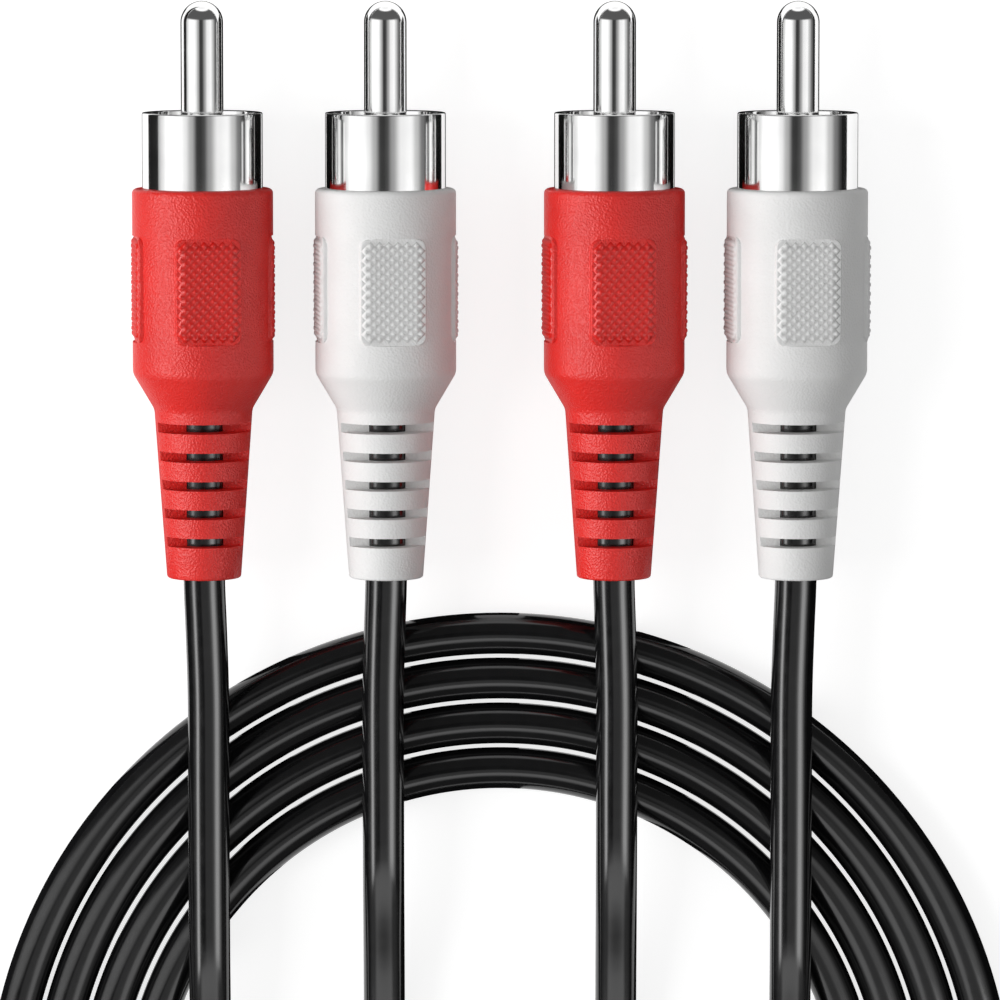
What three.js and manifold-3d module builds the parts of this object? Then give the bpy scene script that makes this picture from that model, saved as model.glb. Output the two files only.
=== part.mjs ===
// Stereo phono cable: two single-core leads with a red or a white moulded plug at each end,
// laid flat with the plugs in a row and the rest of both leads in one flat coil.
// Millimetres, +Z up. X runs along the row of plugs, +Y is the way the pins point.
// The origin is under the middle of the row of plugs, on the surface that they lie on.
import * as THREE from 'three';
import { mergeVertices } from 'three/addons/utils/BufferGeometryUtils.js';
import Module from 'manifold-3d';

const wasm = await Module();
wasm.setup();

// Contacts
const pinDiameter = 3.2;
const pinProud = 8.35; // from the collar's rim to the tip
const jackDiameter = 8.3; // the socket's barrel that the collar slides over
const jackFit = 0.06; // between that barrel and the collar, on the diameter
const collarWall = 0.35;
const collarLength = 5.7; // the part that stands out of the body
const cupDepth = 7.2; // from the rim to the insulator's face
const rimEdge = 0.08; // broken edge of the collar's rim
const flangeWall = 0.4;
const neckRadius = 3.1;
const neckLength = 3.4;
const tabWidth = 2.2;
const tabLength = 3.2;
const insulatorFlange = 1.3;
const stemRadius = 1.15;
const solderCupRadius = 0.65;
const solderCupDepth = 2.6;
const tailBehindNeck = 1.6; // pin's rear end behind the neck

// Moulded body
const barrelRadius = 5.3;
const barrelLength = 13.9;
const coneLength = 2.7;
const bootFrontRadius = 3.7;
const bootRearRadius = 2.79;
const bootLength = 12.8;
const frontFillet = 0.35;
const rearFillet = 0.2;
const innerMouldRadius = 4.0;
const innerMouldRear = 13.2; // its rear face behind the body's front
const innerMouldWall = 0.5;

// Grip pads: flat, one on each side of the barrel, knurled
const padCount = 4;
const padWidth = 5.0;
const padLength = 8.0;
const padStart = 3.5; // behind the body's front
const padFromAxis = 5.05;
const padCorner = 0.7;
const padRootGap = 0.2; // from the inner mould's pocket to the pad's root
const mouldTurn = THREE.MathUtils.degToRad(7.5); // pads and slots, about the plug's axis

// Strain relief slots, cut from above and from below down to the cord
const slotCount = 5;
const slotStart = 17.55; // behind the body's front
const slotPitch = 2.16;
const slotWidth = 0.72;
const spineHalf = 0.85; // from the axis plane to the slot's floor

// Cord
const cordDiameter = 3.15;
const cordBoreGap = 0.2; // between the cord and the strain relief's bore
const coreRadius = 0.8;
const conductorRadius = 0.32;
const pigtailRadius = 0.35;
const pigtailRun = 0.9; // along the core before it turns out to the tab
const pigtailSolderRear = 0.6; // where it lies on the tab, as shares of the tab's length
const pigtailSolderFront = 0.2;
const coreBare = 2.6; // core left bare in front of the jacket
const fitGap = 0.1; // between nested pieces of the plug
const faceGap = 0.3; // between pieces that meet end to end

// Row of plugs and coil
const innerPlugX = 8.6;
const outerPlugX = 22.35;
const coilCentreY = -64.36;
const coilPasses = 4;
const turnPitch = 3.445;
const outerTurnRadius = 37.91;
const coilEdge = 0.9;
const innerTailX = 8.85;
const outerTailX = 22.1;
const overTurns = 4.82; // height of a cord end that lies over the turns
const cordLift = 0.02; // under a cord end's lowest stretch
const halfFall = 4; // behind a strain relief, half way down to that height
const fall = 9;

// Facets round each piece
const collarSides = 24;
const bodySides = 24;
const pinSides = 16;
const innerSides = 12;
const cordSides = 8;
const tailSteps = 18;
const coilSides = 48;
const pinTipSteps = 4;
const frontFilletSteps = 3;
const rearFilletSteps = 2;
const padCornerSteps = 2;
const pigtailSteps = 6;
const cutterReach = 1; // how far a cutting solid goes past the surface that it cuts

// Sizes that follow
const cordRadius = cordDiameter / 2;
const pinRadius = pinDiameter / 2;
const collarInner = (jackDiameter + jackFit) / 2;
const collarOuter = collarInner + collarWall;
const bodyLength = barrelLength + coneLength + bootLength;
const pinTip = collarLength + pinProud;
const cupFloor = collarLength - cupDepth;
const flangeFront = cupFloor - insulatorFlange;
const flangeRear = flangeFront - flangeWall;
const neckRear = flangeRear - neckLength;
const neckInner = neckRadius - collarWall;
const pinRear = neckRear - tailBehindNeck;
const jacketFront = -(innerMouldRear - 2 * innerMouldWall);
const coreFront = jacketFront + faceGap + coreBare;
const rowHeight = Math.max(
  barrelRadius,
  padFromAxis * Math.cos(mouldTurn) + (padWidth / 2) * Math.sin(mouldTurn),
);
const plugFrontY = (bodyLength - pinTip) / 2;

// Solids and meshes

function toSolid(geometry) {
  const bare = geometry.clone();
  bare.deleteAttribute('normal');
  bare.deleteAttribute('uv');
  const merged = mergeVertices(bare, 1e-4);
  return new wasm.Manifold(new wasm.Mesh({
    numProp: 3,
    vertProperties: merged.attributes.position.array,
    triVerts: new Uint32Array(merged.index.array),
  }));
}

function toGeometry(solid) {
  const mesh = solid.getMesh();
  const geometry = new THREE.BufferGeometry();
  geometry.setAttribute('position', new THREE.BufferAttribute(mesh.vertProperties, 3));
  geometry.setIndex(new THREE.BufferAttribute(mesh.triVerts, 1));
  geometry.computeVertexNormals();
  return geometry;
}

function named(name, geometry, material) {
  const mesh = new THREE.Mesh(geometry, material.clone());
  mesh.name = name;
  return mesh;
}

// A turned piece about the Y axis from [radius, y] pairs, listed from the rear round to the front
function turned(pairs, sides) {
  return new THREE.LatheGeometry(pairs.map(([r, y]) => new THREE.Vector2(r, y)), sides);
}

// Points of a quarter round in a turned profile, from angle a to angle b in degrees
function round(r, y, radius, a, b, steps) {
  return Array.from({ length: steps + 1 }, (_, i) => {
    const t = THREE.MathUtils.degToRad(a + ((b - a) * i) / steps);
    return [r + radius * Math.cos(t), y + radius * Math.sin(t)];
  });
}

// Contacts

function centrePin() {
  const profile = [
    [0, pinRear + solderCupDepth],
    [solderCupRadius, pinRear + solderCupDepth],
    [solderCupRadius, pinRear],
    [stemRadius, pinRear],
    [stemRadius, cupFloor + fitGap],
    [pinRadius, cupFloor + fitGap],
    ...round(0, pinTip - pinRadius, pinRadius, 0, 90, pinTipSteps).slice(0, -1),
    [0, pinTip],
  ];
  return turned(profile, pinSides);
}

function insulator() {
  const hole = stemRadius + fitGap;
  const stem = neckInner - fitGap;
  const disc = collarInner - fitGap;
  const rear = neckRear + faceGap;
  return turned([
    [hole, rear],
    [stem, rear],
    [stem, flangeFront + fitGap],
    [disc, flangeFront + fitGap],
    [disc, cupFloor],
    [hole, cupFloor],
    [hole, rear],
  ], innerSides);
}

function collar() {
  const shell = turned([
    [neckInner, neckRear],
    [neckRadius, neckRear],
    [neckRadius, flangeRear],
    [collarOuter - frontFillet, flangeRear],
    [collarOuter, flangeRear + frontFillet],
    [collarOuter, collarLength - rimEdge],
    [collarOuter - rimEdge, collarLength],
    [collarInner + rimEdge, collarLength],
    [collarInner, collarLength - rimEdge],
    [collarInner, flangeFront],
    [neckInner, flangeFront],
    [neckInner, neckRear],
  ], collarSides);
  const overlap = neckLength / 2;
  const tab = new THREE.BoxGeometry(tabWidth, tabLength + overlap, collarWall);
  const tabHeight = neckInner * Math.cos(Math.asin(tabWidth / 2 / neckInner)) + collarWall / 2;
  tab.translate(0, neckRear - tabLength / 2 + overlap / 2, -tabHeight);
  const neckBore = turned([
    [0, neckRear],
    [neckInner, neckRear],
    [neckInner, flangeFront],
    [0, flangeFront],
  ], collarSides);
  return toGeometry(toSolid(shell).add(toSolid(tab).subtract(toSolid(neckBore))));
}

// Soldered joint and the mould round it

function coreInsulation() {
  const hole = conductorRadius + fitGap;
  return turned([
    [hole, jacketFront + faceGap],
    [coreRadius, jacketFront + faceGap],
    [coreRadius, coreFront],
    [hole, coreFront],
    [hole, jacketFront + faceGap],
  ], cordSides);
}

function conductor() {
  const front = pinRear + solderCupDepth - faceGap;
  return turned([
    [0, jacketFront + faceGap],
    [conductorRadius, jacketFront + faceGap],
    [conductorRadius, front],
    [0, front],
  ], cordSides);
}

function shieldPigtail() {
  const tabFace = neckInner * Math.cos(Math.asin(tabWidth / 2 / neckInner));
  const depth = tabFace - pigtailRadius - fitGap;
  const start = coreRadius + pigtailRadius + fitGap;
  const path = new THREE.CatmullRomCurve3([
    new THREE.Vector3(0, jacketFront + faceGap, -start),
    new THREE.Vector3(0, jacketFront + faceGap + pigtailRun, -start),
    new THREE.Vector3(0, neckRear - tabLength * pigtailSolderRear, -depth),
    new THREE.Vector3(0, neckRear - tabLength * pigtailSolderFront, -depth),
  ]);
  return tube(path, pigtailRadius, pigtailSteps);
}

function innerMould() {
  const bore = neckRadius + 2 * fitGap;
  const cordBore = cordRadius + cordBoreGap;
  return turned([
    [cordBore, -innerMouldRear],
    [innerMouldRadius - innerMouldWall, -innerMouldRear],
    [innerMouldRadius, -innerMouldRear + innerMouldWall],
    [innerMouldRadius, flangeRear - fitGap],
    [bore, flangeRear - fitGap],
    [bore, jacketFront + fitGap],
    [cordBore, jacketFront - innerMouldWall],
    [cordBore, -innerMouldRear],
  ], innerSides);
}

// Body

function gripPad(from, to) {
  const w = padWidth / 2;
  const l = padLength / 2;
  const outline = new THREE.Shape();
  outline.absarc(w - padCorner, l - padCorner, padCorner, 0, Math.PI / 2);
  outline.absarc(padCorner - w, l - padCorner, padCorner, Math.PI / 2, Math.PI);
  outline.absarc(padCorner - w, padCorner - l, padCorner, Math.PI, 1.5 * Math.PI);
  outline.absarc(w - padCorner, padCorner - l, padCorner, 1.5 * Math.PI, 2 * Math.PI);
  const pad = new THREE.ExtrudeGeometry(outline, {
    depth: to - from, bevelEnabled: false, curveSegments: padCornerSteps,
  });
  return pad.translate(0, -padStart - l, from);
}

function turnedAboutPlug(geometry, angle) {
  return toSolid(geometry.rotateY(angle));
}

function body() {
  const collarBore = collarOuter + fitGap;
  const mouldBore = innerMouldRadius + fitGap;
  const cordBore = cordRadius + cordBoreGap;
  const rear = -bodyLength;
  const outside = toSolid(turned([
    [0, rear],
    ...round(bootRearRadius - rearFillet, rear + rearFillet, rearFillet, -90, 0, rearFilletSteps),
    [bootFrontRadius, -barrelLength - coneLength],
    [barrelRadius, -barrelLength],
    ...round(barrelRadius - frontFillet, -frontFillet, frontFillet, 0, 90, frontFilletSteps),
    [0, 0],
  ], bodySides));
  const bore = toSolid(turned([
    [0, rear - cutterReach],
    [cordBore, rear - cutterReach],
    [cordBore, -innerMouldRear - fitGap],
    [mouldBore - innerMouldWall, -innerMouldRear - fitGap],
    [mouldBore, -innerMouldRear + innerMouldWall - fitGap],
    [mouldBore, flangeRear],
    [0, flangeRear],
  ], innerSides));
  const collarPocket = toSolid(turned([
    [0, flangeRear - fitGap],
    [collarBore, flangeRear - fitGap],
    [collarBore, cutterReach],
    [0, cutterReach],
  ], collarSides));

  const padRoot = mouldBore + padRootGap;
  let solid = outside;
  for (let i = 0; i < padCount; i++) {
    const angle = mouldTurn + (i * 2 * Math.PI) / padCount;
    solid = solid.subtract(turnedAboutPlug(gripPad(padFromAxis, barrelRadius + cutterReach), angle));
    solid = solid.add(turnedAboutPlug(gripPad(padRoot, padFromAxis), angle));
  }
  solid = solid.subtract(bore).subtract(collarPocket);

  const reach = bootFrontRadius + cutterReach;
  for (let i = 0; i < slotCount; i++) {
    for (const side of [0, Math.PI]) {
      const slot = new THREE.BoxGeometry(2 * reach, slotWidth, reach - spineHalf);
      slot.translate(0, -slotStart - i * slotPitch - slotWidth / 2, (reach + spineHalf) / 2);
      solid = solid.subtract(turnedAboutPlug(slot, mouldTurn + side));
    }
  }
  return toGeometry(solid);
}

// Cord

function tube(path, radius, steps) {
  const section = new THREE.Shape();
  for (let i = 0; i < cordSides; i++) {
    const t = (i * 2 * Math.PI) / cordSides;
    if (i === 0) section.moveTo(radius, 0);
    else section.lineTo(radius * Math.cos(t), radius * Math.sin(t));
  }
  section.closePath();
  return new THREE.ExtrudeGeometry(section, { steps, bevelEnabled: false, extrudePath: path });
}

// Points that each cord end follows outside the coil: x and y from the coil's centre, z from the surface
const onSurface = cordRadius + cordLift;
const jacketStartY = plugFrontY + jacketFront - coilCentreY;
const bootEndY = plugFrontY - bodyLength - coilCentreY;

function fromPlug(side, plugX, tailX) {
  return [
    [side * plugX, jacketStartY, rowHeight],
    [side * plugX, (jacketStartY + bootEndY) / 2, rowHeight],
    [side * plugX, bootEndY, rowHeight],
    [side * (plugX + tailX) / 2, bootEndY - halfFall, (rowHeight + overTurns) / 2],
    [side * tailX, bootEndY - fall, overTurns],
  ];
}

const tails = {
  red_lead_left_tail: [
    ...fromPlug(-1, outerPlugX, outerTailX),
    [-22.1, 26, overTurns],
    [-22.1, 19, overTurns],
    [-22.1, 12, 4.4],
    [-22.1, 5, 3.0],
    [-22.2, -2, 1.8],
    [-21.9, -8, onSurface],
    [-18.9, -14.8, onSurface],
    [-13.5, -20.0, onSurface],
    [-6.7, -23.2, onSurface],
    [-1, -24.1, onSurface],
    [4.2, -23.8, onSurface],
  ],
  white_lead_left_tail: [
    ...fromPlug(-1, innerPlugX, innerTailX),
    [-8.85, 26, overTurns],
    [-8.85, 19, 4.3],
    [-8.85, 12, 2.7],
    [-8.85, 4, 1.7],
    [-8.85, -4, onSurface],
    [-7.8, -10.9, onSurface],
    [-4.6, -15.7, onSurface],
    [0.2, -18.9, onSurface],
    [5.7, -20.0, onSurface],
    [11.6, -18.4, onSurface],
    [17.3, -15.6, onSurface],
  ],
  red_lead_right_tail: [
    ...fromPlug(1, innerPlugX, innerTailX),
    [8.85, 26, overTurns],
    [8.85, 19, 4.2],
    [8.85, 12, 2.6],
    [8.85, 4, 1.7],
    [8.85, -3, 2.2],
    [8.85, -10, 3.8],
    [8.85, -17, overTurns],
    [8.0, -22.2, overTurns],
    [5.5, -26.8, overTurns],
    [1.7, -30.3, overTurns],
    [-3.1, -32.5, overTurns],
    [-8.4, -33.0, overTurns],
  ],
  white_lead_right_tail: [
    ...fromPlug(1, outerPlugX, outerTailX),
    [22.1, 26, overTurns],
    [22.1, 19, overTurns],
    [22.1, 13, 4.5],
    [22.1, 7, 3.4],
    [22.1, 1, 2.9],
    [22.1, -5, 3.6],
    [22.1, -11, 4.7],
    [22.1, -17.5, overTurns],
    [22.1, -23.2, overTurns],
    [21.7, -26.3, overTurns],
    [20.6, -29.2, overTurns],
    [18.9, -31.7, overTurns],
    [16.6, -33.8, overTurns],
  ],
};

function tail(points) {
  const path = new THREE.CatmullRomCurve3(points.map(([x, y, z]) => new THREE.Vector3(x, y, z)));
  return tube(path, cordRadius, tailSteps).translate(0, coilCentreY, 0);
}

// The coil's outer shape: all its turns side by side, one cord high
function coil() {
  const outer = outerTurnRadius + cordRadius;
  const inner = outerTurnRadius - (coilPasses - 1) * turnPitch - cordRadius;
  const top = cordDiameter - faceGap;
  const ring = turned([
    [inner, 0],
    [outer, 0],
    [outer, top - coilEdge],
    [outer - coilEdge, top],
    [inner + coilEdge, top],
    [inner, top - coilEdge],
    [inner, 0],
  ], coilSides);
  return ring.rotateX(Math.PI / 2);
}

// Materials

const nickel = new THREE.MeshStandardMaterial({ color: 0xd9dadb, roughness: 0.18, metalness: 1 });
const redPvc = new THREE.MeshStandardMaterial({ color: 0xd8201c, roughness: 0.45, metalness: 0 });
const whitePvc = new THREE.MeshStandardMaterial({ color: 0xeeedeb, roughness: 0.5, metalness: 0 });
const insulatorPlastic = new THREE.MeshStandardMaterial({ color: 0xf2f0ea, roughness: 0.6, metalness: 0 });
const mouldPlastic = new THREE.MeshStandardMaterial({ color: 0xe4e0d4, roughness: 0.55, metalness: 0 });
const corePlastic = new THREE.MeshStandardMaterial({ color: 0xf4f2ee, roughness: 0.5, metalness: 0 });
const copper = new THREE.MeshStandardMaterial({ color: 0xc8794a, roughness: 0.35, metalness: 1 });
const blackPvc = new THREE.MeshStandardMaterial({ color: 0x161617, roughness: 0.3, metalness: 0 });

// Assembly

function plug(name, x, bodyMaterial) {
  const group = new THREE.Group();
  group.position.set(x, plugFrontY, rowHeight);
  group.add(
    named(`${name}_centre_pin`, centrePin(), nickel),
    named(`${name}_insulator`, insulator(), insulatorPlastic),
    named(`${name}_collar`, collar(), nickel),
    named(`${name}_inner_mould`, innerMould(), mouldPlastic),
    named(`${name}_body`, body(), bodyMaterial),
    named(`${name}_core_insulation`, coreInsulation(), corePlastic),
    named(`${name}_conductor`, conductor(), copper),
    named(`${name}_shield_pigtail`, shieldPigtail(), copper),
  );
  return group;
}

const cable = new THREE.Group();
cable.add(
  plug('red_left', -outerPlugX, redPvc),
  plug('white_left', -innerPlugX, whitePvc),
  plug('red_right', innerPlugX, redPvc),
  plug('white_right', outerPlugX, whitePvc),
);
for (const [name, points] of Object.entries(tails)) {
  cable.add(named(name, tail(points), blackPvc));
}
const coiled = named('lead_coil', coil(), blackPvc);
coiled.position.set(0, coilCentreY, 0);
cable.add(coiled);

export default cable;
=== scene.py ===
import math

import bmesh
import bpy
from mathutils import Matrix, Vector


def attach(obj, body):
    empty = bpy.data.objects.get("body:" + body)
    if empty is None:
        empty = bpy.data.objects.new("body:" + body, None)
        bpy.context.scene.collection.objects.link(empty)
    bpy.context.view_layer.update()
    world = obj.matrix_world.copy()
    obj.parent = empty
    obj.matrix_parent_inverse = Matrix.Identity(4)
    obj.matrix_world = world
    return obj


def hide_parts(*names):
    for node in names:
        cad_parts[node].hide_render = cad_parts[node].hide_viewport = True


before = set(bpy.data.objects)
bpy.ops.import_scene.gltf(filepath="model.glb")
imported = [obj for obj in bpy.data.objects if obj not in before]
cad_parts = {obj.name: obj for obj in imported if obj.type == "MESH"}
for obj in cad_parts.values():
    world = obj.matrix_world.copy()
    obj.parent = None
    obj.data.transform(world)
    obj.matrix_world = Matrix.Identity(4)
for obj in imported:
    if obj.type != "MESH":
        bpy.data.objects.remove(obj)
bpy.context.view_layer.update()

# The view
# A long lens looks down on the table, tipped a little towards the fronts of the plugs, so that
# the cups of the collars show as a thin ellipse.
view_centre = Vector((0.0, -0.01587, 0.0053))
view_distance = 0.516
view_tip = math.radians(5.9)
view_from = view_centre + view_distance * Vector((0.0, math.sin(view_tip), math.cos(view_tip)))
bpy.ops.object.camera_add(location=view_from, rotation=(-view_tip, 0.0, 0.0))
camera = bpy.context.object
camera.name = "camera"
camera.data.lens = 246.1
camera.data.sensor_width = 36.0
camera.data.clip_start = 0.01
camera.data.clip_end = 20.0
bpy.context.scene.camera = camera
bpy.context.scene.view_settings.view_transform = "Standard"

# The two leads
# Each lead is 0.6 m of screened single-core cord in an extruded black PVC jacket. They are wound
# together, counter-clockwise from the left plugs, and their ends come back over the turns. A
# jacket starts inside the plug, some way behind the front of the plug's body.
cord_diameter = 0.00315
on_table = cord_diameter / 2 + 0.00002
over_turns = 0.00482
row_height = 0.0053331
plug_front = 0.007675
jacket_start = 0.0122
body_length = 0.0294
plug_x = {"red_left": -0.02235, "white_left": -0.0086, "red_right": 0.0086, "white_right": 0.02235}
coil_centre = Vector((0.0, -0.06436, 0.0))
turn_pitch = 0.003445
outer_turn = 0.03791
inner_turn = outer_turn - 3 * turn_pitch


def from_plug(side, at_plug, at_turns):
    """First points of a cord end, from the coil's centre: straight out of the plug, a little down."""
    jacket = plug_front - jacket_start - coil_centre.y
    boot = plug_front - body_length - coil_centre.y
    return [
        (side * at_plug, jacket, row_height),
        (side * at_plug, (jacket + boot) / 2, row_height),
        (side * at_plug, boot, row_height),
        (side * (at_plug + at_turns) / 2, boot - 0.004, (row_height + over_turns) / 2),
        (side * at_turns, boot - 0.009, over_turns),
    ]


red_left_end = from_plug(-1, 0.02235, 0.0221) + [
    (-0.0221, 0.026, over_turns),
    (-0.0221, 0.019, over_turns),
    (-0.0221, 0.012, 0.0044),
    (-0.0221, 0.005, 0.0030),
    (-0.0222, -0.002, 0.0018),
    (-0.0219, -0.008, on_table),
    (-0.0189, -0.0148, on_table),
    (-0.0135, -0.0200, on_table),
    (-0.0067, -0.0232, on_table),
    (-0.001, -0.0241, on_table),
    (0.0042, -0.0238, on_table),
]
white_left_end = from_plug(-1, 0.0086, 0.00885) + [
    (-0.00885, 0.026, over_turns),
    (-0.00885, 0.019, 0.0043),
    (-0.00885, 0.012, 0.0027),
    (-0.00885, 0.004, 0.0017),
    (-0.00885, -0.004, on_table),
    (-0.0078, -0.0109, on_table),
    (-0.0046, -0.0157, on_table),
    (0.0002, -0.0189, on_table),
    (0.0057, -0.0200, on_table),
    (0.0116, -0.0184, on_table),
    (0.0173, -0.0156, on_table),
]
red_right_end = from_plug(1, 0.0086, 0.00885) + [
    (0.00885, 0.026, over_turns),
    (0.00885, 0.019, 0.0042),
    (0.00885, 0.012, 0.0026),
    (0.00885, 0.004, 0.0017),
    (0.00885, -0.003, 0.0022),
    (0.00885, -0.010, 0.0038),
    (0.00885, -0.017, over_turns),
    (0.0080, -0.0222, over_turns),
    (0.0055, -0.0268, over_turns),
    (0.0017, -0.0303, over_turns),
    (-0.0031, -0.0325, over_turns),
    (-0.0084, -0.0330, over_turns),
]
white_right_end = from_plug(1, 0.02235, 0.0221) + [
    (0.0221, 0.026, over_turns),
    (0.0221, 0.019, over_turns),
    (0.0221, 0.013, 0.0045),
    (0.0221, 0.007, 0.0034),
    (0.0221, 0.001, 0.0029),
    (0.0221, -0.005, 0.0036),
    (0.0221, -0.011, 0.0047),
    (0.0221, -0.0175, over_turns),
    (0.0221, -0.0232, over_turns),
    (0.0217, -0.0263, over_turns),
    (0.0206, -0.0292, over_turns),
    (0.0189, -0.0317, over_turns),
    (0.0166, -0.0338, over_turns),
]


def moved_over(angle, start, end):
    """How much of a move between two angles is done at this angle, from 0 to 1, eased at both ends."""
    share = min(max((angle - start) / (end - start), 0.0), 1.0)
    return (1 - math.cos(math.pi * share)) / 2


# A turn gives the radius and the height of its lead at an angle, which counts on in degrees over
# all the turns. Each lead moves two bands outwards from 280 to 370 degrees and again from 640 to
# 730. From 545 to 600 the leads change places, the white one lifted over the red one, and at its
# last angles each lead rises to lie over the turns.
def red_turn(angle):
    bands_out = 2 * moved_over(angle, 280, 370) + 2 * moved_over(angle, 640, 730) - 1
    radius = inner_turn + turn_pitch * (bands_out - moved_over(angle, 545, 600))
    return radius, on_table + (over_turns - on_table) * moved_over(angle, 929, 963)


def white_turn(angle):
    bands_out = 2 * moved_over(angle, 280, 370) + 2 * moved_over(angle, 640, 730) - 2
    radius = inner_turn + turn_pitch * (bands_out + moved_over(angle, 545, 600))
    lifted = moved_over(angle, 530, 560) - moved_over(angle, 582, 612) + moved_over(angle, 984, 1012)
    return radius, on_table + (over_turns - on_table) * lifted


def turns(turn, first, last):
    """Points of the turns from the first angle to the last, about 8 degrees apart."""
    count = (last - first) // 8
    points = []
    for k in range(count + 1):
        angle = first + (last - first) * k / count
        radius, height = turn(angle)
        around = math.radians(angle)
        points.append((radius * math.cos(around), radius * math.sin(around), height))
    return points


def smooth_line(name, points):
    """A curve object through the points, with handles that give it one even bend after another."""
    points = [coil_centre + Vector(p) for p in points]
    steps = [(b - a).length ** 0.5 for a, b in zip(points, points[1:])]
    curve = bpy.data.curves.new(name, "CURVE")
    curve.dimensions = "3D"
    spline = curve.splines.new("BEZIER")
    spline.bezier_points.add(len(points) - 1)
    for i, (point, knot) in enumerate(zip(points, spline.bezier_points)):
        before = steps[max(i - 1, 0)]
        after = steps[min(i, len(steps) - 1)]
        back = points[i] - points[i - 1] if i else points[1] - points[0]
        ahead = points[i + 1] - points[i] if i < len(steps) else back
        speed = back / before - (back + ahead) / (before + after) + ahead / after
        knot.co = point
        knot.handle_left_type = knot.handle_right_type = "FREE"
        knot.handle_left = point - speed * before / 3
        knot.handle_right = point + speed * after / 3
    curve.resolution_u = 6
    curve.bevel_depth = cord_diameter / 2
    curve.bevel_resolution = 10
    curve.use_fill_caps = True
    line = bpy.data.objects.new(name, curve)
    bpy.context.collection.objects.link(line)
    return line


def new_finish(name):
    finish = bpy.data.materials.new(name)
    finish.use_nodes = True
    nodes, links = finish.node_tree.nodes, finish.node_tree.links
    place = nodes.new("ShaderNodeTexCoord").outputs["Object"]
    return finish, nodes, links, nodes["Principled BSDF"], place


def noise(nodes, links, place, scale, detail=2.0):
    node = nodes.new("ShaderNodeTexNoise")
    node.inputs["Scale"].default_value = scale
    node.inputs["Detail"].default_value = detail
    links.new(place, node.inputs["Vector"])
    return node.outputs["Fac"]


# A noise stays mostly between these two values, where a finish runs from one end to the other
noise_low = 0.3
noise_high = 0.7


def tint(nodes, links, shader, fac, dark, light):
    """The base colour, from dark to light with the value."""
    node = nodes.new("ShaderNodeValToRGB")
    node.color_ramp.elements[0].position = noise_low
    node.color_ramp.elements[1].position = noise_high
    node.color_ramp.elements[0].color = (*dark, 1.0)
    node.color_ramp.elements[1].color = (*light, 1.0)
    links.new(fac, node.inputs["Fac"])
    links.new(node.outputs["Color"], shader.inputs["Base Color"])


def gloss(nodes, links, shader, fac, smoothest, roughest):
    """The roughness, from one level to the other with the value."""
    node = nodes.new("ShaderNodeMapRange")
    node.inputs["From Min"].default_value = noise_low
    node.inputs["From Max"].default_value = noise_high
    node.inputs["To Min"].default_value = smoothest
    node.inputs["To Max"].default_value = roughest
    links.new(fac, node.inputs["Value"])
    links.new(node.outputs["Result"], shader.inputs["Roughness"])


def relief(nodes, links, shader, height, depth, strength):
    """Fine unevenness of that depth, which follows the height."""
    node = nodes.new("ShaderNodeBump")
    node.inputs["Distance"].default_value = depth
    node.inputs["Strength"].default_value = strength
    links.new(height, node.inputs["Height"])
    links.new(node.outputs["Normal"], shader.inputs["Normal"])


jacket_pvc, nodes, links, shader, place = new_finish("black jacket PVC")
cloud = noise(nodes, links, place, 900.0)
tint(nodes, links, shader, cloud, (0.0045, 0.0045, 0.0048), (0.0065, 0.0065, 0.007))
gloss(nodes, links, shader, cloud, 0.11, 0.15)
shader.inputs["Specular IOR Level"].default_value = 0.65
relief(nodes, links, shader, noise(nodes, links, place, 420.0), 0.00002, 0.25)

red_points = red_left_end + turns(red_turn, 288, 963) + red_right_end[::-1]
white_points = white_left_end + turns(white_turn, 326, 1010) + white_right_end[::-1]
red_lead = smooth_line("red_lead", red_points)
white_lead = smooth_line("white_lead", white_points)
for lead, near, first, last in (
    (red_lead, "red_left", "red_lead_left_tail", "red_lead_right_tail"),
    (white_lead, "white_left", "white_lead_left_tail", "white_lead_right_tail"),
):
    lead.data.materials.append(jacket_pvc)
    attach(lead, "root")
    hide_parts(first, last, "lead_coil")

# Centre pins
# A pin is turned from brass and nickel-plated, with a domed tip, a stem through the insulator and
# a cup at its rear that the core is soldered into.
pin_radius = 0.0016
pin_tip = 0.01405
cup_floor = -0.0015
neck_rear = -0.0066
pin_rear = neck_rear - 0.0016


def arc(radius, y, fillet, start, end, steps):
    """Points of a quarter round in a turned outline, from one angle to the other in degrees."""
    angles = [math.radians(start + (end - start) * k / steps) for k in range(steps + 1)]
    return [(radius + fillet * math.cos(a), y + fillet * math.sin(a)) for a in angles]


def turned(name, outline, sides):
    """Draws the outline of (radius, y) points as an edge and spins it round the plug's axis."""
    bpy.ops.object.select_all(action="DESELECT")
    bpy.ops.mesh.primitive_plane_add(size=0.001)
    piece = bpy.context.object
    piece.name = piece.data.name = name
    bpy.ops.object.mode_set(mode="EDIT")
    bpy.ops.mesh.select_mode(type="VERT")
    bpy.ops.mesh.select_all(action="SELECT")
    bpy.ops.mesh.merge(type="CENTER")
    bpy.ops.transform.translate(value=(outline[0][0], outline[0][1], 0.0))
    for (r0, y0), (r1, y1) in zip(outline, outline[1:]):
        bpy.ops.mesh.extrude_region_move(TRANSFORM_OT_translate={"value": (r1 - r0, y1 - y0, 0.0)})
    bpy.ops.mesh.select_all(action="SELECT")
    bpy.ops.mesh.spin(steps=sides, angle=2 * math.pi, center=(0.0, 0.0, 0.0), axis=(0.0, 1.0, 0.0))
    bpy.ops.mesh.select_all(action="SELECT")
    bpy.ops.mesh.remove_doubles(threshold=0.000001)
    bpy.ops.mesh.normals_make_consistent(inside=False)
    bpy.ops.object.mode_set(mode="OBJECT")
    bpy.ops.object.shade_smooth_by_angle(angle=math.radians(35))
    return piece


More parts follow.
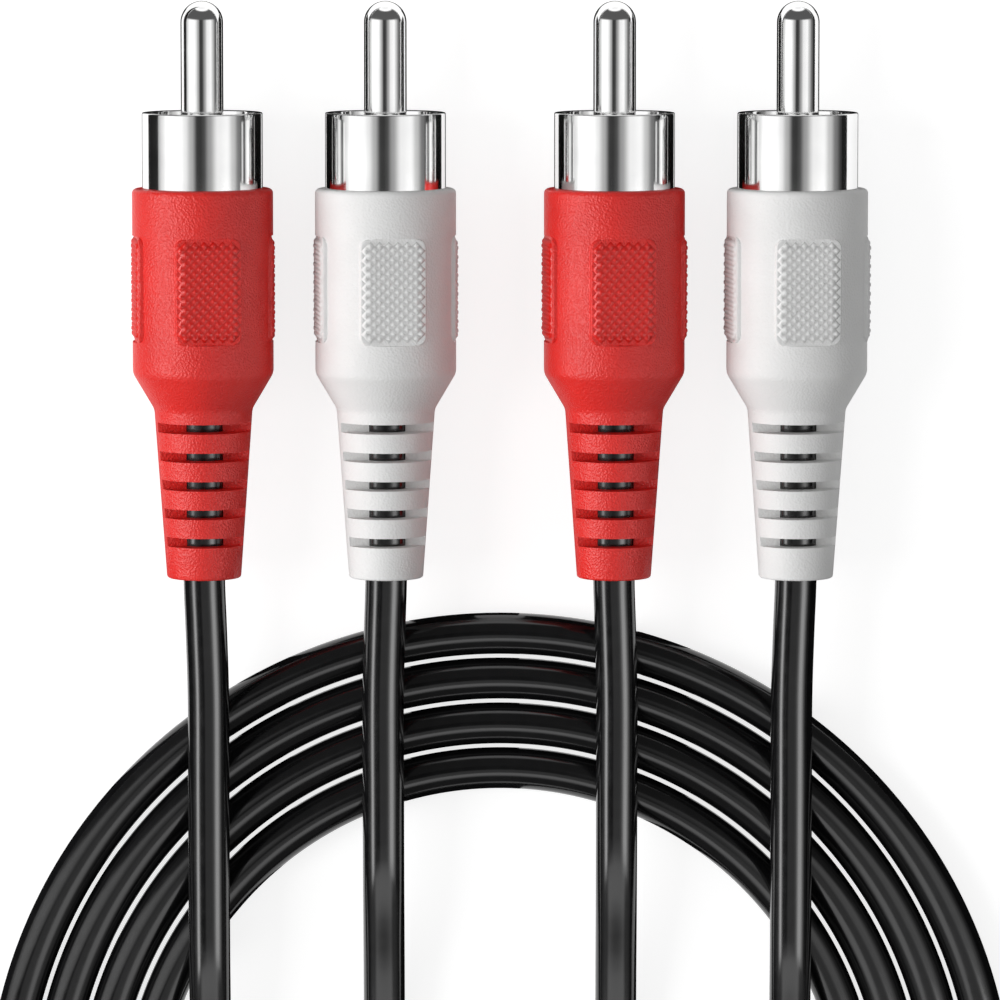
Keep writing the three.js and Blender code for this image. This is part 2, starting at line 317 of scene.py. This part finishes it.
def set_in_plug(pattern, plug, part):
    """A copy of the pattern, with its own mesh, at its place in one plug of the row."""
    piece = pattern.copy()
    piece.data = pattern.data.copy()
    piece.name = piece.data.name = f"{plug}_{part}_finished"
    bpy.context.collection.objects.link(piece)
    piece.data.transform(Matrix.Translation((plug_x[plug], plug_front, row_height)))
    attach(piece, "root")
    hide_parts(f"{plug}_{part}")
    return piece


nickel, nodes, links, shader, place = new_finish("bright nickel plate")
shader.inputs["Metallic"].default_value = 1.0
cloud = noise(nodes, links, place, 350.0)
tint(nodes, links, shader, cloud, (0.88, 0.88, 0.88), (0.93, 0.93, 0.925))
gloss(nodes, links, shader, cloud, 0.07, 0.11)
turning = nodes.new("ShaderNodeMapping")
turning.inputs["Scale"].default_value = (0.0, 1.0, 0.0)
links.new(place, turning.inputs["Vector"])
relief(nodes, links, shader, noise(nodes, links, turning.outputs["Vector"], 9000.0, 3.0), 0.000002, 0.12)

solder_cup_bore = 0.00065
solder_cup_radius = 0.00115
solder_cup_depth = 0.0026
pin_shoulder = cup_floor - 0.0002
pin_outline = [
    (0.0, pin_rear + solder_cup_depth),
    (solder_cup_bore, pin_rear + solder_cup_depth),
    (solder_cup_bore, pin_rear),
    (solder_cup_radius, pin_rear),
    (solder_cup_radius, pin_shoulder),
    (pin_radius, pin_shoulder),
]
pin_outline += arc(0.0, pin_tip - pin_radius, pin_radius, 0, 90, 20)[:-1] + [(0.0, pin_tip)]
pin_pattern = turned("pin_pattern", pin_outline, 64)
pin_pattern.data.materials.append(nickel)
for plug in plug_x:
    set_in_plug(pin_pattern, plug, "centre_pin")
bpy.data.objects.remove(pin_pattern)

# Insulators
# The insulator is a moulded disc on a stem. It holds the pin in the middle of the collar, and its
# front face, with a shallow ring round the pin, is the floor of the collar's cup.
cup_radius = 0.00418
neck_inner = 0.00275

insulator_plastic, nodes, links, shader, place = new_finish("natural insulator plastic")
cloud = noise(nodes, links, place, 600.0)
tint(nodes, links, shader, cloud, (0.78, 0.76, 0.70), (0.86, 0.84, 0.78))
shader.inputs["Roughness"].default_value = 0.45
relief(nodes, links, shader, noise(nodes, links, place, 5000.0), 0.00001, 0.3)

insulator_bore = 0.0012
insulator_rear = neck_rear + 0.0003
stem_radius = neck_inner - 0.0001
disc_radius = cup_radius - 0.00006
disc_rear = cup_floor - 0.0012
ring_floor = cup_floor - 0.0002
insulator_outline = [
    (insulator_bore, insulator_rear),
    (stem_radius, insulator_rear),
    (stem_radius, disc_rear),
    (disc_radius, disc_rear),
    (disc_radius, cup_floor - 0.00015),
    (cup_radius - 0.00021, cup_floor),
    (0.0026, cup_floor),
    (0.0024, ring_floor),
    (0.0020, ring_floor),
    (0.0018, cup_floor),
    (insulator_bore, cup_floor),
    (insulator_bore, insulator_rear),
]
insulator_pattern = turned("insulator_pattern", insulator_outline, 48)
insulator_pattern.data.materials.append(insulator_plastic)
for plug in plug_x:
    set_in_plug(insulator_pattern, plug, "insulator")
bpy.data.objects.remove(insulator_pattern)

# Collars
# The collar, the outer contact, is drawn from thin brass and nickel-plated. Its neck grips the
# insulator behind the cup, and a tab on the neck takes the shield wires.
collar_wall = 0.00035
collar_outer = cup_radius + collar_wall
collar_length = 0.0057
flange_front = cup_floor - 0.0013
flange_rear = flange_front - 0.0004
neck_radius = neck_inner + collar_wall
flange_round = 0.00035
lip_round = 0.0001
tab_half_width = 0.0011
tab_length = 0.0032

collar_outline = [
    (neck_inner, neck_rear),
    (neck_radius, neck_rear),
    (neck_radius, flange_rear),
]
collar_outline += arc(collar_outer - flange_round, flange_rear + flange_round, flange_round, -90, 0, 6)
collar_outline += arc(collar_outer - lip_round, collar_length - lip_round, lip_round, 0, 90, 5)
collar_outline += arc(cup_radius + lip_round, collar_length - lip_round, lip_round, 90, 180, 5)
collar_outline += [
    (cup_radius, flange_front),
    (neck_inner, flange_front),
    (neck_inner, neck_rear),
]
collar_pattern = turned("collar_pattern", collar_outline, 96)
collar_pattern.data.materials.append(nickel)
bpy.context.view_layer.objects.active = collar_pattern
bpy.ops.object.mode_set(mode="EDIT")
bpy.ops.mesh.select_mode(type="FACE")
bpy.ops.mesh.select_all(action="DESELECT")
shell = bmesh.from_edit_mesh(collar_pattern.data)
for face in shell.faces:
    middle = face.calc_center_median()
    on_rear_rim = face.normal.y < -0.9 and middle.y < neck_rear + 0.00001
    face.select = on_rear_rim and middle.z < 0 and abs(middle.x) < tab_half_width
bmesh.update_edit_mesh(collar_pattern.data)
bpy.ops.mesh.extrude_region_move(TRANSFORM_OT_translate={"value": (0.0, -tab_length, 0.0)})
bpy.ops.object.mode_set(mode="OBJECT")
for plug in plug_x:
    set_in_plug(collar_pattern, plug, "collar")
bpy.data.objects.remove(collar_pattern)

# Soldered joints
# Behind the pin the stripped core is soldered into the pin's cup and the twisted shield wires to
# the collar's tab, and a hard first moulding holds the joint before the outer body goes over it.
core_plastic, nodes, links, shader, place = new_finish("core insulation polyethylene")
cloud = noise(nodes, links, place, 800.0)
tint(nodes, links, shader, cloud, (0.80, 0.79, 0.75), (0.86, 0.85, 0.82))
shader.inputs["Roughness"].default_value = 0.35

mould_plastic, nodes, links, shader, place = new_finish("first moulding plastic")
cloud = noise(nodes, links, place, 500.0)
tint(nodes, links, shader, cloud, (0.70, 0.67, 0.58), (0.76, 0.74, 0.66))
shader.inputs["Roughness"].default_value = 0.5
relief(nodes, links, shader, noise(nodes, links, place, 3000.0), 0.00002, 0.3)

copper, nodes, links, shader, place = new_finish("bare copper strands")
shader.inputs["Metallic"].default_value = 1.0
shader.inputs["Roughness"].default_value = 0.3
strand = nodes.new("ShaderNodeTexWave")
strand.bands_direction = "DIAGONAL"
strand.inputs["Scale"].default_value = 1800.0
strand.inputs["Distortion"].default_value = 1.5
links.new(place, strand.inputs["Vector"])
tint(nodes, links, shader, strand.outputs["Fac"], (0.55, 0.27, 0.15), (0.80, 0.48, 0.32))
relief(nodes, links, shader, strand.outputs["Fac"], 0.00003, 0.6)

for plug in plug_x:
    for part, finish in (
        ("inner_mould", mould_plastic),
        ("core_insulation", core_plastic),
        ("conductor", copper),
        ("shield_pigtail", copper),
    ):
        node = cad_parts[f"{plug}_{part}"]
        node.data.materials.clear()
        node.data.materials.append(finish)

# Moulded bodies
# The body is soft PVC, red or white, shot over the joint in one piece: a round barrel with four
# flat knurled grip pads, a cone, and a tapered strain relief slotted from above and below.
barrel_radius = 0.0053
barrel_length = 0.0139
cone_length = 0.0027
cone_bend = 0.0012
boot_front = 0.0037
boot_rear = 0.00279
cord_bore = 0.00161
mould_bore = 0.0041
mould_front = flange_rear - 0.0001
mould_taper = -0.0128
mould_rear = -0.0133
plug_roll = math.radians(7.5)


def body_pvc(name, dark, light, specular, roughness, grain_scale, grain_depth):
    """Soft PVC with the fine leather grain of the mould, or the plainer surface of its grip pads."""
    finish, nodes, links, shader, place = new_finish(name)
    cloud = noise(nodes, links, place, 260.0)
    tint(nodes, links, shader, cloud, dark, light)
    shader.inputs["Roughness"].default_value = roughness
    shader.inputs["Specular IOR Level"].default_value = specular
    grain = nodes.new("ShaderNodeTexVoronoi")
    grain.feature = "SMOOTH_F1"
    grain.inputs["Scale"].default_value = grain_scale
    grain.inputs["Smoothness"].default_value = 0.4
    links.new(place, grain.inputs["Vector"])
    relief(nodes, links, shader, grain.outputs["Distance"], grain_depth, 1.0)
    return finish


red_shades = (0.74, 0.010, 0.006), (0.82, 0.014, 0.008)
white_shades = (0.83, 0.83, 0.825), (0.87, 0.87, 0.865)
grained_finish = {
    "red": body_pvc("red body PVC", *red_shades, 0.48, 0.42, 6400.0, 0.000048),
    "white": body_pvc("white body PVC", *white_shades, 0.2, 0.48, 5600.0, 0.000024),
}
knurl_finish = {
    "red": body_pvc("red pad PVC", *red_shades, 0.5, 0.3, 9000.0, 0.000004),
    "white": body_pvc("white pad PVC", *white_shades, 0.3, 0.4, 9000.0, 0.00001),
}


def rounded(corner, before, after, radius, steps):
    """Points of an arc of that radius that replaces one corner of a turned outline."""
    corner, before, after = Vector(corner), Vector(before), Vector(after)
    back, ahead = (before - corner).normalized(), (after - corner).normalized()
    half = back.angle(ahead) / 2
    centre = corner + (back + ahead).normalized() * radius / math.sin(half)
    start = corner + back * radius / math.tan(half) - centre
    sweep = start.angle_signed(corner + ahead * radius / math.tan(half) - centre)
    points = []
    for k in range(steps + 1):
        turn = Matrix.Rotation(-sweep * k / steps, 2)
        points.append(tuple(centre + turn @ start))
    return points


rear_edge = (boot_rear, -body_length)
boot_top = (boot_front, -barrel_length - cone_length)
barrel_end = (barrel_radius, -barrel_length)
front_edge = (barrel_radius, 0.0)
body_outline = [(cord_bore, -body_length)]
body_outline += rounded(rear_edge, (cord_bore, -body_length), boot_top, 0.0002, 4)
body_outline += rounded(boot_top, rear_edge, barrel_end, cone_bend, 5)
body_outline += rounded(barrel_end, boot_top, front_edge, cone_bend, 5)
body_outline += rounded(front_edge, barrel_end, (collar_outer, 0.0), 0.00035, 6)
body_outline += [
    (collar_outer + 0.00004, 0.0),
    (collar_outer + 0.00004, mould_front),
    (mould_bore, mould_front),
    (mould_bore, mould_taper),
    (mould_bore - 0.0005, mould_rear),
    (cord_bore, mould_rear),
    (cord_bore, -body_length),
]
body_pattern = turned("body_pattern", body_outline, 128)
body_pattern.data.materials.append(grained_finish["red"])


def round_edges(block, chosen, radius, steps):
    """Rounds the edges of the block, open in edit mode, that the test chooses."""
    bpy.ops.mesh.select_mode(type="EDGE")
    bpy.ops.mesh.select_all(action="DESELECT")
    shape = bmesh.from_edit_mesh(block.data)
    for edge in shape.edges:
        edge.select = chosen(edge)
    bmesh.update_edit_mesh(block.data)
    bpy.ops.mesh.bevel(offset=radius, segments=steps, affect="EDGES")


def cutter(name, size, centre, corner, rim):
    """A block with its four upright corners rounded and its upper rim broken, for a pad or a slot."""
    bpy.ops.object.select_all(action="DESELECT")
    bpy.ops.mesh.primitive_cube_add(size=1.0)
    block = bpy.context.object
    block.name = block.data.name = name
    bpy.ops.object.mode_set(mode="EDIT")
    bpy.ops.mesh.select_all(action="SELECT")
    bpy.ops.transform.resize(value=size)
    bpy.ops.transform.translate(value=centre)
    half_height = size[2] / 2
    just_below_top = centre[2] + size[2] / 2 - 0.000001
    if corner:
        round_edges(block, lambda e: abs(e.verts[0].co.z - e.verts[1].co.z) > half_height, corner, 5)
    if rim:
        round_edges(block, lambda e: min(v.co.z for v in e.verts) > just_below_top, rim, 3)
    bpy.ops.object.mode_set(mode="OBJECT")
    return block


def work(target, tool, operation):
    """Cuts the tool out of the target, or joins it on, and throws the tool away."""
    change = target.modifiers.new(tool.name, "BOOLEAN")
    change.operation = operation
    change.solver = "EXACT"
    change.object = tool
    bpy.ops.object.select_all(action="DESELECT")
    bpy.context.view_layer.objects.active = target
    target.select_set(True)
    bpy.ops.object.modifier_apply(modifier=change.name)
    bpy.data.objects.remove(tool)


pad_width = 0.005
pad_length = 0.008
pad_middle = -0.0075
pad_face = 0.00505
pad_corner = 0.0007
pad_rim = 0.00015
hollow_size = (pad_width, pad_length, 0.002)
hollow_centre = (0.0, pad_middle, pad_face + hollow_size[2] / 2)
raised_size = (pad_width, pad_length, 0.0007)
raised_centre = (0.0, pad_middle, pad_face - raised_size[2] / 2)
for quarter in range(4):
    around = Matrix.Rotation(quarter * math.pi / 2, 4, "Y")
    hollow = cutter("pad_hollow", hollow_size, hollow_centre, pad_corner, 0.0)
    hollow.data.transform(around)
    work(body_pattern, hollow, "DIFFERENCE")
    raised = cutter("pad_block", raised_size, raised_centre, pad_corner, pad_rim)
    raised.data.transform(around)
    work(body_pattern, raised, "UNION")

slot_start = 0.01755
slot_pitch = 0.00216
slot_width = 0.00072
slot_floor = 0.00085
slot_size = (0.01, slot_width, 0.004)
slot_count = 5
for k in range(slot_count):
    for side in (0, 1):
        slot_middle = -slot_start - k * slot_pitch - slot_width / 2
        slot_centre = (0.0, slot_middle, slot_floor + slot_size[2] / 2)
        slot = cutter("slot", slot_size, slot_centre, 0.0, 0.0)
        slot.data.transform(Matrix.Rotation(side * math.pi, 4, "Y"))
        work(body_pattern, slot, "DIFFERENCE")

# The knurl of a pad is a sheet of small flat-topped diamonds. Its two sets of grooves run at 45
# degrees to the plug's axis. The sheet ends short of the pad's edge and its rounded corners.
diamond = 0.000488
across = 20
knurl_margin = 0.0003
knurl_corner = 0.0005
knurl_base = 0.00006
knurl_sunk = 0.00005
bpy.ops.object.select_all(action="DESELECT")
bpy.ops.mesh.primitive_grid_add(x_subdivisions=across, y_subdivisions=across, size=across * diamond)
knurl_pattern = bpy.context.object
knurl_pattern.name = knurl_pattern.data.name = "knurl_pattern"
bpy.ops.object.mode_set(mode="EDIT")
bpy.ops.mesh.select_all(action="SELECT")
bpy.ops.transform.rotate(value=math.pi / 4, orient_axis="Z", center_override=(0.0, 0.0, 0.0))
bpy.ops.mesh.select_mode(type="FACE")
bpy.ops.mesh.select_all(action="DESELECT")
sheet = bmesh.from_edit_mesh(knurl_pattern.data)
straight_x = pad_width / 2 - pad_corner
straight_y = pad_length / 2 - pad_corner
margin_x = pad_width / 2 - knurl_margin
margin_y = pad_length / 2 - knurl_margin
for face in sheet.faces:
    middle = face.calc_center_median()
    into_corner = max(abs(middle.x) - straight_x, 0), max(abs(middle.y) - straight_y, 0)
    inside = abs(middle.x) < margin_x and abs(middle.y) < margin_y
    face.select = not (inside and math.hypot(*into_corner) < knurl_corner)
bmesh.update_edit_mesh(knurl_pattern.data)
bpy.ops.mesh.delete(type="FACE")
bpy.ops.mesh.select_all(action="SELECT")
bpy.ops.mesh.extrude_region_move(TRANSFORM_OT_translate={"value": (0.0, 0.0, knurl_base)})
bpy.ops.mesh.inset(thickness=0.00017, depth=0.00019, use_individual=True)
bpy.ops.mesh.select_all(action="SELECT")
bpy.ops.mesh.normals_make_consistent(inside=False)
bpy.ops.object.mode_set(mode="OBJECT")
bpy.ops.object.shade_smooth()
knurl_pattern.data.materials.append(knurl_finish["red"])

for quarter in range(4):
    knurl = knurl_pattern.copy()
    knurl.data = knurl_pattern.data.copy()
    bpy.context.collection.objects.link(knurl)
    knurl.data.transform(Matrix.Translation((0.0, pad_middle, pad_face - knurl_sunk)))
    knurl.data.transform(Matrix.Rotation(quarter * math.pi / 2, 4, "Y"))
    bpy.ops.object.select_all(action="DESELECT")
    knurl.select_set(True)
    body_pattern.select_set(True)
    bpy.context.view_layer.objects.active = body_pattern
    bpy.ops.object.join()
bpy.data.objects.remove(knurl_pattern)
body_pattern.data.transform(Matrix.Rotation(plug_roll, 4, "Y"))

for plug in plug_x:
    colour = plug.split("_")[0]
    body = set_in_plug(body_pattern, plug, "body")
    body.data.materials[0] = grained_finish[colour]
    body.data.materials[1] = knurl_finish[colour]
bpy.data.objects.remove(body_pattern)

# Table and lights
# The table and the room are white to the eye and in reflections, and keep the cable's shadow. A
# large soft lamp stands on the left. A curved card over the row glows in bright and dark bands that
# only reflections see: painted reflections for the metal and the glossy jackets. It casts no shadow,
# so the lamp shines through it.
table_top = -0.00002
bpy.ops.object.select_all(action="DESELECT")
bpy.ops.mesh.primitive_plane_add(size=8.0, location=(0.0, 0.0, table_top))
table = bpy.context.object
table.name = "table"


def seen_rays(nodes, links, unseen_level, seen_level):
    """That level for what the eye sees, directly, mirrored or through glass, and another for the light."""
    rays = nodes.new("ShaderNodeLightPath")
    seen = rays.outputs["Is Camera Ray"]
    for also in ("Is Glossy Ray", "Is Transmission Ray"):
        either = nodes.new("ShaderNodeMath")
        either.operation = "MAXIMUM"
        links.new(seen, either.inputs[0])
        links.new(rays.outputs[also], either.inputs[1])
        seen = either.outputs[0]
    level = nodes.new("ShaderNodeMapRange")
    level.inputs["To Min"].default_value = unseen_level
    level.inputs["To Max"].default_value = seen_level
    links.new(seen, level.inputs["Value"])
    return level.outputs["Result"]


table_paint, nodes, links, shader, place = new_finish("white table")
shader.inputs["Base Color"].default_value = (0.45, 0.45, 0.45, 1.0)
shader.inputs["Roughness"].default_value = 0.9
shader.inputs["Specular IOR Level"].default_value = 0.0
glow = nodes.new("ShaderNodeEmission")
table_level = seen_rays(nodes, links, unseen_level=0.0, seen_level=0.8)
links.new(table_level, glow.inputs["Strength"])
both = nodes.new("ShaderNodeAddShader")
links.new(shader.outputs[0], both.inputs[0])
links.new(glow.outputs[0], both.inputs[1])
links.new(both.outputs[0], nodes["Material Output"].inputs["Surface"])
table.data.materials.append(table_paint)

world = bpy.data.worlds.new("white room")
bpy.context.scene.world = world
world.use_nodes = True
nodes, links = world.node_tree.nodes, world.node_tree.links
nodes["Background"].inputs["Color"].default_value = (1.0, 1.0, 1.0, 1.0)
room_level = seen_rays(nodes, links, unseen_level=0.38, seen_level=1.0)
links.new(room_level, nodes["Background"].inputs["Strength"])

bpy.ops.object.select_all(action="DESELECT")
lamp_side = math.radians(-60)
lamp_distance = 1.0
lamp_spot = (lamp_distance * math.sin(lamp_side), -0.02, lamp_distance * math.cos(lamp_side))
bpy.ops.object.light_add(type="AREA", location=lamp_spot, rotation=(0.0, lamp_side, 0.0))
lamp = bpy.context.object
lamp.name = "soft_lamp_left"
lamp.data.shape = "RECTANGLE"
lamp.data.size = 0.9
lamp.data.size_y = 0.5
lamp.data.energy = 8.4
lamp.visible_camera = False

# The card's bands of painted reflection, left to right, as degrees from straight up and how bright
# each glows: the part that the contacts mirror, the part that the straight cords mirror and the
# coil's, then the plain dim parts at both ends and the plain bright part far in front
contact_bands = [
    (-100, 0.14),
    (-90, 0.42),
    (-80, 0.75),
    (-68, 1.1),
    (-50, 1.1),
    (-40, 1.05),
    (-32, 0.9),
    (-20, 0.47),
    (-9, 0.045),
    (-3, 0.04),
    (3, 0.07),
    (14, 0.36),
    (31, 0.95),
    (49, 1.05),
    (62, 0.6),
    (75, 0.2),
    (88, 0.04),
    (100, 0.04),
]
cord_bands = [
    (-100, 0.05),
    (-88, 0.15),
    (-76, 0.4),
    (-69, 2.5),
    (-64, 5.5),
    (-58, 5.5),
    (-52, 1.5),
    (-46, 0.2),
    (-41, 0.04),
    (-25, 0.04),
    (-14, 0.42),
    (14, 0.45),
    (24, 0.7),
    (34, 2.2),
    (41, 4.6),
    (52, 5.0),
    (60, 3.0),
    (69, 1.0),
    (80, 0.1),
    (100, 0.04),
]
coil_bands = [
    (-100, 0.1),
    (-60, 0.4),
    (-40, 1.6),
    (40, 1.6),
    (60, 0.4),
    (100, 0.1),
]
end_bands = [
    (-100, 0.1),
    (100, 0.1),
]
far_bands = [
    (-100, 1.2),
    (100, 1.2),
]
card_edge = 100
brightest = 12.0
bpy.ops.object.select_all(action="DESELECT")
bpy.ops.mesh.primitive_cylinder_add(
    vertices=144,
    radius=0.6,
    depth=5.0,
    end_fill_type="NOTHING",
    rotation=(math.pi / 2, 0.0, 0.0),
)
card = bpy.context.object
card.name = "curved_reflection_card"
bpy.ops.object.mode_set(mode="EDIT")
bpy.ops.mesh.select_mode(type="FACE")
bpy.ops.mesh.select_all(action="DESELECT")
shell = bmesh.from_edit_mesh(card.data)
for face in shell.faces:
    middle = card.matrix_world @ face.calc_center_median()
    face.select = math.degrees(abs(math.atan2(middle.x, middle.z))) > card_edge
bmesh.update_edit_mesh(card.data)
bpy.ops.mesh.delete(type="FACE")
bpy.ops.object.mode_set(mode="OBJECT")
# The card's glow is painted reflection, seen only by glossy rays
reflection_card_paint = bpy.data.materials.new("banded card of painted reflections")
reflection_card_paint.use_nodes = True
nodes, links = reflection_card_paint.node_tree.nodes, reflection_card_paint.node_tree.links
nodes.remove(nodes["Principled BSDF"])
place = nodes.new("ShaderNodeTexCoord").outputs["Object"]
apart = nodes.new("ShaderNodeSeparateXYZ")
links.new(place, apart.inputs[0])
angle = nodes.new("ShaderNodeMath")
angle.operation = "ARCTAN2"
links.new(apart.outputs["X"], angle.inputs[0])
links.new(apart.outputs["Y"], angle.inputs[1])
share = nodes.new("ShaderNodeMapRange")
share.inputs["From Min"].default_value = math.radians(-card_edge)
share.inputs["From Max"].default_value = math.radians(card_edge)
links.new(angle.outputs[0], share.inputs["Value"])


def lit_bands(card_bands):
    """The bands as a colour that changes round the card, as shares of the brightest level."""
    bands = nodes.new("ShaderNodeValToRGB")
    bands.color_ramp.interpolation = "EASE"
    while len(bands.color_ramp.elements) < len(card_bands):
        bands.color_ramp.elements.new(0.5)
    for stop, (degrees, level) in zip(bands.color_ramp.elements, card_bands):
        stop.position = (degrees + card_edge) / (2 * card_edge)
        stop.color = (level / brightest, level / brightest, level / brightest, 1.0)
    links.new(share.outputs["Result"], bands.inputs["Fac"])
    return bands.outputs["Color"]


def past(start, end, before, after):
    """One set of bands in front of the start and another behind the end."""
    along = nodes.new("ShaderNodeMapRange")
    along.interpolation_type = "SMOOTHSTEP"
    along.inputs["From Min"].default_value = start
    along.inputs["From Max"].default_value = end
    links.new(apart.outputs["Z"], along.inputs["Value"])
    mix = nodes.new("ShaderNodeMix")
    mix.data_type = "RGBA"
    links.new(along.outputs["Result"], mix.inputs[0])
    links.new(before, mix.inputs[6])
    links.new(after, mix.inputs[7])
    return mix.outputs[2]


# The card's own Z runs along the plugs' axes, backwards
lit = past(-1.5, -1.0, lit_bands(far_bands), lit_bands(end_bands))
lit = past(-0.22, -0.12, lit, lit_bands(contact_bands))
lit = past(0.055, 0.085, lit, lit_bands(cord_bands))
lit = past(0.24, 0.28, lit, lit_bands(coil_bands))
lit = past(0.36, 0.6, lit, lit_bands(end_bands))
glow = nodes.new("ShaderNodeEmission")
glow.inputs["Strength"].default_value = brightest
links.new(lit, glow.inputs["Color"])
links.new(glow.outputs[0], nodes["Material Output"].inputs["Surface"])
card.data.materials.append(reflection_card_paint)

# Black cards lie on the table, seen only in reflections: painted dark reflections, and under each
# plug a painted contact shadow in the reflections. Each goes from left to right and from rear to
# front: past both ends of the row and under each plug, and behind them beside the cords
dark_reflection_paint, nodes, links, shader, place = new_finish("dark reflection card")
shader.inputs["Base Color"].default_value = (0.02, 0.02, 0.02, 1.0)
shader.inputs["Roughness"].default_value = 1.0
shader.inputs["Specular IOR Level"].default_value = 0.0
card_height = 0.00005
row_rear = -0.0225
beside_cords = [
    (-0.6, -0.0295),
    (0.024, 0.6),
    (-0.0203, -0.0162),
    (-0.007, 0.0015),
    (0.0107, 0.0147),
]
card_spans = [(-0.6, -0.0378, row_rear, 0.15), (0.0534, 0.6, row_rear, 0.15)]
card_spans += [(x - 0.0065, x + 0.0065, row_rear, 0.024) for x in plug_x.values()]
card_spans += [(left, right, -0.15, row_rear) for left, right in beside_cords]
cards = [card]
for left, right, rear, front in card_spans:
    bpy.ops.object.select_all(action="DESELECT")
    card_centre = ((left + right) / 2, (rear + front) / 2, card_height)
    bpy.ops.mesh.primitive_plane_add(size=1.0, location=card_centre)
    black = bpy.context.object
    black.name = "dark_reflection_card"
    black.scale = (right - left, front - rear, 1.0)
    black.data.materials.append(dark_reflection_paint)
    cards.append(black)
# Only reflections see the cards, so they paint reflections and nothing else; the camera, diffuse light and
# shadows pass them
for card in cards:
    card.visible_camera = False
    card.visible_diffuse = False
    card.visible_shadow = False
    card.visible_transmission = False
